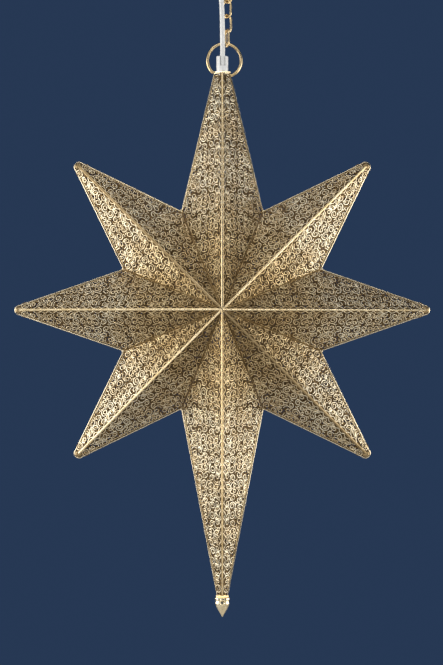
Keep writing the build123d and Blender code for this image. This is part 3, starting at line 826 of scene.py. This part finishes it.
def ridge_mesh(name, rows, face):
    """The folded strips along the ridges of these points, each with a painted highlight, plain tone or
    painted shade by its angle.
    """
    bm = bmesh.new()
    for angle, reach, cut in rows:
        painted_light = ridge_painted_light[angle]
        outwards = {}
        for side in (-1, 1):
            axes, (ridge, _, _) = facet_axes(angle, reach, side, face)
            outwards[side] = axes.to_3x3() @ Vector((0, 0, 1))
            end = ridge * cut / reach
            before = len(bm.verts)
            plate(bm, [
                (strip_start_inner, flank_from),
                (end, flank_from),
                (end, strip),
                (strip_start_outer, strip),
            ], *strip_heights, 0.15)
            bm.verts.ensure_lookup_table()
            fresh = bm.verts[before:]
            faces = list({made for vert in fresh for made in vert.link_faces})
            bmesh.ops.transform(bm, matrix=axes, verts=fresh)
            if axes.to_3x3().determinant() < 0:
                bmesh.ops.reverse_faces(bm, faces=faces)
            for made in faces:
                # painted highlight or painted shade on the strips, picked by the ridge's angle
                made.material_index = painted_light[1] if side < 0 else painted_light[2]
                made.smooth = False
        outward = (outwards[1] + outwards[-1]).normalized()
        low = axes @ Vector((crest_start, 0, 0)) - outward * crest_depth * MM
        high = axes @ Vector((end, 0, 0)) - outward * crest_depth * MM
        bead = [
            (*low.lerp(high, k / crest_lengths), crest_radius * MM)
            for k in range(crest_lengths + 1)
        ]
        before = len(bm.faces)
        bm.from_mesh(sweep(name + "_crest", [(bead, False)], 6))
        bm.faces.ensure_lookup_table()
        for made in bm.faces[before:]:
            # painted highlight or painted shade on the bead, picked by the ridge's angle
            made.material_index = painted_light[0]
            made.smooth = True
    if len(rows) > 1:
        apex_dome(bm, face)
    mesh = bpy.data.meshes.new(name)
    bm.to_mesh(mesh)
    bm.free()
    return mesh


def apex_dome(bm, face):
    """The blob of solder where the eight ridges meet."""
    before = len(bm.faces)
    dome = bmesh.ops.create_uvsphere(bm, u_segments=16, v_segments=10, radius=1.0)["verts"]
    bmesh.ops.scale(bm, vec=(dome_across * MM, dome_deep * MM, dome_across * MM), verts=dome)
    bmesh.ops.translate(bm, vec=star + Vector((0, face * (half_depth - dome_sunk), 0)) * MM, verts=dome)
    bm.faces.ensure_lookup_table()
    for made in bm.faces[before:]:
        made.material_index = SOLDER
        made.smooth = True


door_row = [points[door]]
other_rows = [row for name, row in points.items() if name != door]
for name, rows, face, body, node in (
    ("ridges_front", list(points.values()), FRONT, "star", "front_ridges"),
    ("ridges_rear", other_rows, REAR, "star", "rear_ridges"),
    ("ridge_door", door_row, REAR, "door", "door_ridge"),
):
    made = piece(name, ridge_mesh(name, rows, face), body, "plain_gold",
                 ridge_gold, painted_highlight_gold, band_gold, solder_gold)
    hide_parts(node)

# ---- outline: a wire round each point, soldered at the notches, with small blunt tips
wire_radius = 1.0
wire_inset = 1.4
wire_lengths = 10
wire_end = 0.6
wire_tip_turn = 1.0
tip_reach = 276.4
nub_middle = 270.6
nub_size = (5.8, 4.2, 4.9)
# the solder at a notch: how far out from it, and how thick there
solder_profile = ((-3.4, 0.6), (-2.6, 1.3), (-1.2, 1.7), (0.2, 1.5), (0.9, 0.7))
notch_out = notch_radius * cos(radians(sector))
notch_up = notch_radius * sin(radians(sector))


def on_plane(angle, u, v):
    """A place on the star's middle plane, by its distances along and across a point."""
    return star + (along(angle) * u + along(angle + 90) * v) * MM


def outline_strand(reach, cut):
    """The wire from notch to notch, round a blunt tip or up to a cut end."""
    slant = notch_up / (reach - notch_out)
    inset = wire_inset * sqrt(1 + slant**2)
    blunt = cut == cut_all
    half = []
    last = cut - wire_tip_turn if blunt else cut
    for k in range(wire_lengths + 1):
        u = notch_out + wire_end + (last - notch_out - wire_end) * k / wire_lengths
        half.append((u, (reach - u) * slant - inset))
    if not blunt:
        return [half, [(u, -v) for u, v in half]]
    u, v = half[-1]
    nose = [(u + (tip_reach - u) * sin(radians(t)), v * cos(radians(t))) for t in (22, 45, 67)]
    there = half + nose
    return [there + [(tip_reach, 0)] + [(a, -b) for a, b in reversed(there)]]


wires = []
blobs = []
for angle, reach, cut in points.values():
    for run in outline_strand(reach, cut):
        wires.append(([(*on_plane(angle, u, v), wire_radius * MM) for u, v in run], False))
    notch = angle + sector
    blobs.append(([
        (*on_plane(notch, notch_radius + u, 0), r * MM)
        for u, r in solder_profile
    ], False))
made = piece("outline_wires", sweep("outline_wires", wires + blobs, 3), "star", "plain_gold", wire_gold)
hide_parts("edge_wires")

bm = bmesh.new()
for angle, reach, cut in points.values():
    if cut != cut_all:
        continue
    nub = bmesh.ops.create_uvsphere(bm, u_segments=20, v_segments=12, radius=1.0)["verts"]
    bmesh.ops.scale(bm, vec=[size * MM for size in nub_size], verts=nub)
    bmesh.ops.rotate(bm, cent=(0, 0, 0), matrix=Matrix.Rotation(-radians(angle), 3, "Y"), verts=nub)
    bmesh.ops.translate(bm, vec=star + along(angle) * nub_middle * MM, verts=nub)
mesh = bpy.data.meshes.new("tip_nubs")
bm.to_mesh(mesh)
bm.free()
mesh.shade_smooth()
made = piece("tip_nubs", mesh, "star", "plain_gold", band_gold)
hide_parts("point_tips")

# ---- top end: a small plate with a rolled rim and a washer under the cord grip
plate_low = 315.7
plate_high = 318.4
plate_inset = 0.6
rim_inset = 0.4
rim_radius = 0.95
washer_radius = 6.9
washer_thick = 0.9
washer_count = 24


def top_corner(height, share, inset):
    """A corner of the top point's section: 0 right, 1 front, 2 left, 3 rear."""
    wide = notch_up * (reach_top - height) / (reach_top - notch_out) - inset
    deep = half_depth * (1 - height / reach_top) - inset
    return [(wide, 0), (0, -deep), (-wide, 0), (0, deep)][share % 4]


bm = bmesh.new()
plate(bm, [top_corner(plate_low, k, plate_inset) for k in (3, 2, 1, 0)], plate_low, plate_high, 0.3)
bmesh.ops.scale(bm, vec=(MM, MM, MM), verts=bm.verts)
bmesh.ops.translate(bm, vec=star, verts=bm.verts)
rim = []
for k in range(4):
    a = Vector(top_corner(plate_low, k, rim_inset))
    b = Vector(top_corner(plate_low, k + 1, rim_inset))
    rim += [a.lerp(b, t) for t in (0.08, 0.35, 0.65, 0.92)]
rim_strand = [(*(star + Vector((x, y, plate_low + 0.2)) * MM), rim_radius * MM) for x, y in rim]
washer = []
for k in range(washer_count):
    turn = tau * k / washer_count
    spot = Vector((washer_radius * cos(turn), washer_radius * sin(turn), plate_high + 0.1))
    washer.append((*(star + spot * MM), washer_thick * MM))
bm.from_mesh(sweep("rim", [(rim_strand, True), (washer, True)], 2))
mesh = bpy.data.meshes.new("top_plate")
bm.to_mesh(mesh)
bm.free()
made = piece("top_plate", mesh, "star", "plain_gold", wire_gold)
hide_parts("top_cap")

# ---- finishes of the frame's own pieces
finishes = {
    "pierced_gold": filigree_gold,
    "plain_gold": ridge_gold,
    "polished_brass": polished_brass,
    "satin_brass": satin_brass,
    "plated_steel": plated_steel,
    "white_cord": cord_white,
    "white_plastic": plastic_white,
    "dark_plastic": plastic_dark,
    "contact_metal": contact_metal,
    "bulb_glass": bulb_clear,
}
for entry in frame["record"]["subparts"]:
    surface = cad[entry["node"]].data
    surface.materials.clear()
    surface.materials.append(finishes[entry["material_slot"]])

# ---- floor and light
def stage_floor(name, width, depth, place, material):
    """A flat floor that only the pictures show."""
    bm = bmesh.new()
    bmesh.ops.create_grid(bm, x_segments=1, y_segments=1, size=0.5)
    bmesh.ops.scale(bm, vec=(width, depth, 1), verts=bm.verts)
    mesh = bpy.data.meshes.new(name)
    bm.to_mesh(mesh)
    bm.free()
    obj = link(bpy.data.objects.new(name, mesh))
    obj.location = place
    mesh.materials.append(material)


pale, tree, shader = nodes_of("pale_floor")
shader.inputs["Base Color"].default_value = (0.62, 0.61, 0.59, 1)
shader.inputs["Roughness"].default_value = 0.8
stage_floor("floor", 6.0, 3.4, (0, 0.0, -1.45), pale)


def softbox(name, place, aim, width, height, power, colour):
    """A soft lamp of this width and height, turned toward its aim."""
    data = bpy.data.lights.new(name, "AREA")
    data.shape = "RECTANGLE"
    data.size = width
    data.size_y = height
    data.energy = power
    data.color = colour
    lamp = link(bpy.data.objects.new(name, data))
    lamp.location = place
    lamp.rotation_euler = (Vector(aim) - Vector(place)).to_track_quat("-Z", "Y").to_euler()


warm = (1.0, 0.97, 0.905)
softbox("light_left", (-1.3, 0.28, -0.5), star, 1.5, 0.9, 16.5, warm)
softbox("light_right", (1.3, 0.28, -0.62), star, 1.5, 0.9, 13.5, warm)
softbox("light_above", (-0.1, -0.33, 0.75), star, 1.8, 0.35, 4, warm)
softbox("strip_above", (-0.2, -1.3, 0.75), star, 2.6, 0.4, 8, warm)
softbox("side_fill_left", (-1.5, -0.9, -0.5), star, 1.4, 0.8, 2.4, warm)
softbox("side_fill_right", (1.5, -0.9, -0.5), star, 1.4, 0.8, 2.4, warm)
softbox("fill_high", (-1.4, -1.4, 0.25), star, 0.8, 0.8, 2.6, warm)
softbox("fill_low", (0.2, -1.2, -1.38), star, 1.8, 0.3, 3, warm)
# small lamps that the ridges' crests and the outline's wire mirror
softbox("ridge_light_left", (-0.9, -1.45, -0.5), star, 0.45, 0.2, 1.4, warm)
softbox("ridge_light_right", (0.9, -1.45, -0.5), star, 0.45, 0.2, 3.2, warm)
softbox("ridge_light_lower_left", (-0.62, -1.33, -1.11), star, 0.35, 0.35, 1.8, warm)
for side, end in ((-1, "left"), (1, "right")):
    softbox("edge_light_high_" + end, (side * 1.37, -0.24, 0.07), star, 0.35, 0.35, 1.0, warm)
    softbox("edge_light_low_" + end, (side * 1.38, -0.24, -1.0), star, 0.35, 0.35, 1.4, warm)

world = bpy.data.worlds.new("studio")
world.use_nodes = True
world.node_tree.nodes["Background"].inputs["Color"].default_value = (0.020, 0.040, 0.088, 1)
world.node_tree.nodes["Background"].inputs["Strength"].default_value = 1.0
bpy.context.scene.world = world
bpy.context.scene.view_settings.view_transform = "Standard"
